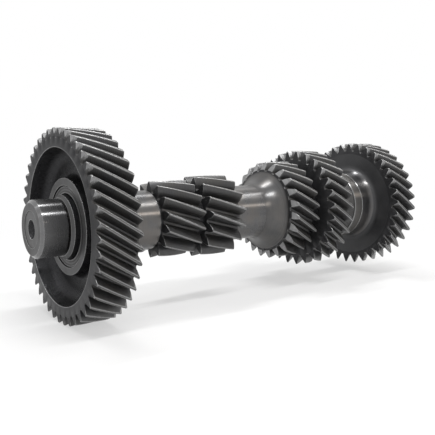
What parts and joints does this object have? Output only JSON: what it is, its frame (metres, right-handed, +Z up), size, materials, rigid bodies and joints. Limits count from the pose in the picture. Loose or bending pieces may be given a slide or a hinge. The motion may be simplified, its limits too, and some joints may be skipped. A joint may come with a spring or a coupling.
{
  "type": "transmission cluster gear",
  "caption": "Steel countershaft cluster gear for a manual gearbox: a forged shaft with integral helical gears and two pressed-on helical gears.",
  "frame": {"origin": "on the shaft's axis, in the middle of the front journal", "axes": "+X along the shaft from the front end to the rear end, +Z up"},
  "size_m": [0.3877, 0.14, 0.14],
  "materials": {
    "shaft_steel": "ground journals, dark oxide on the teeth",
    "gear_steel": "dark satin oxide",
    "ring_steel": "ground"
  },
  "bodies": {
    "root": {"countershaft": "shaft_steel", "drive_gear": "gear_steel", "spacer_ring": "ring_steel", "rear_gear": "gear_steel"}
  },
  "joints": []
}
